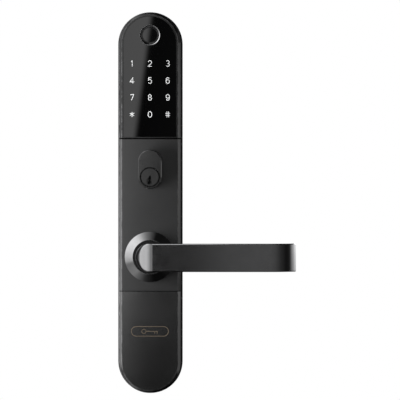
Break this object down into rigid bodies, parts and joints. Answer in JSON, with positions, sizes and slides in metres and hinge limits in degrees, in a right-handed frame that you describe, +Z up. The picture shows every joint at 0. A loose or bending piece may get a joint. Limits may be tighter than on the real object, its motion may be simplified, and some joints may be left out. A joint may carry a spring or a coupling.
{
  "type": "keypad smart lock",
  "caption": "Tall round-ended escutcheon for a door, with a touch keypad, fingerprint sensor, oval key cylinder and a lever handle that drives a square spindle through a motorised clutch.",
  "frame": {"origin": "on the spindle's axis, in the plane of the door's face that the gasket lies on", "axes": "+Z up along the escutcheon, +Y into the door along the spindle, +X to the viewer's right, the way the lever points"},
  "size_m": [0.1554, 0.11, 0.337],
  "materials": {
    "housing_black": "matt powder coat",
    "cover_black": "satin black paint",
    "lower_cover_black": "satin black paint",
    "bezel_black": "satin black paint",
    "front_glass": "black back-printed toughened glass",
    "rubber": "matt",
    "steel": "zinc plated",
    "screw_steel": "zinc plated",
    "light_box_white": "white",
    "circuit_board": "solder mask",
    "chip_black": "moulded",
    "led_white": "clear",
    "socket_cream": "moulded",
    "sensor_metal": "polished",
    "sensor_window": "gloss",
    "lever_graphite": "polished graphite plate",
    "rose_graphite": "polished graphite plate",
    "bronze": "sintered",
    "acetal": "moulded",
    "motor_can": "plain",
    "cylinder_dark": "black plated",
    "plug_dark": "black plated",
    "pin_brass": "machined",
    "spring_steel": "plain"
  },
  "bodies": {
    "escutcheon": {"door_gasket": "rubber", "base_housing": "housing_black", "back_plate": "steel", "back_plate_screws": "screw_steel", "through_bolt_posts": "steel", "post_screws": "screw_steel", "cable_grommet": "rubber", "keypad_bezel": "bezel_black", "bezel_screws": "screw_steel", "keypad_glass": "front_glass", "glass_seal": "rubber", "keypad_board": "circuit_board", "light_box": "light_box_white", "key_leds": "led_white", "sensor_ring": "sensor_metal", "sensor_disc": "sensor_window", "sensor_module": "chip_black", "middle_plate": "cover_black", "middle_plate_screws": "screw_steel", "bottom_cover": "lower_cover_black", "bottom_cover_screws": "screw_steel", "control_board": "circuit_board", "board_screws": "screw_steel", "board_header": "chip_black", "board_chips": "chip_black", "harness_socket": "socket_cream", "buzzer": "chip_black", "rose": "rose_graphite", "rose_screws": "screw_steel", "lever_bush": "bronze", "thrust_washer": "acetal", "follower_washer": "acetal", "return_spring": "spring_steel", "motor_bracket": "acetal", "bracket_screws": "screw_steel", "clutch_motor": "motor_can", "cylinder_body": "cylinder_dark", "chamber_cover": "pin_brass", "driver_pins": "pin_brass", "pin_springs": "spring_steel", "cylinder_clip": "steel", "clip_screws": "screw_steel"},
    "lever": {"lever_handle": "lever_graphite", "drive_hub": "steel", "hub_pins": "steel"},
    "clutch_pin": {"clutch_pin": "steel"},
    "spindle": {"spindle_follower": "steel", "spindle": "steel"},
    "clutch_screw": {"clutch_screw": "steel"},
    "clutch_shoe": {"clutch_shoe": "acetal"},
    "key_plug": {"key_plug": "plug_dark", "key_pins": "pin_brass", "cylinder_cam": "steel", "cam_screw": "screw_steel"}
  },
  "joints": [
    {"name": "lever_turn", "type": "hinge", "parent": "escutcheon", "child": "lever", "pos_m": [0, -0.02, 0], "axis": [0, 1, 0], "range_deg": [0, 45], "stiffness_Nm_per_rad": 0.8, "springref_deg": -20.05, "deforming": ["return_spring"]},
    {"name": "spindle_turn", "type": "hinge", "parent": "escutcheon", "child": "spindle", "pos_m": [0, 0, 0], "axis": [0, 1, 0], "range_deg": [0, 45]},
    {"name": "clutch_screw_turn", "type": "hinge", "parent": "escutcheon", "child": "clutch_screw", "pos_m": [0, -0.0092, 0.03], "axis": [0, 0, 1], "range_deg": [0, 936]},
    {"name": "clutch_shoe_slide", "type": "slide", "parent": "escutcheon", "child": "clutch_shoe", "axis": [0, 0, 1], "range_m": [0, 0.0026]},
    {"name": "clutch_pin_slide", "type": "slide", "parent": "lever", "child": "clutch_pin", "axis": [0, 0, 1], "range_m": [0, 0.0015]},
    {"name": "key_plug_turn", "type": "hinge", "parent": "escutcheon", "child": "key_plug", "pos_m": [0, 0, 0.0698], "axis": [0, 1, 0], "continuous": true}
  ],
  "couplings": [
    {"joint": "spindle_turn", "follows": "lever_turn", "ratio": 1},
    {"joint": "clutch_screw_turn", "follows": "clutch_shoe_slide", "rad_per_m": 6283.2},
    {"joint": "clutch_pin_slide", "follows": "clutch_shoe_slide", "ratio": 0.57692}
  ]
}
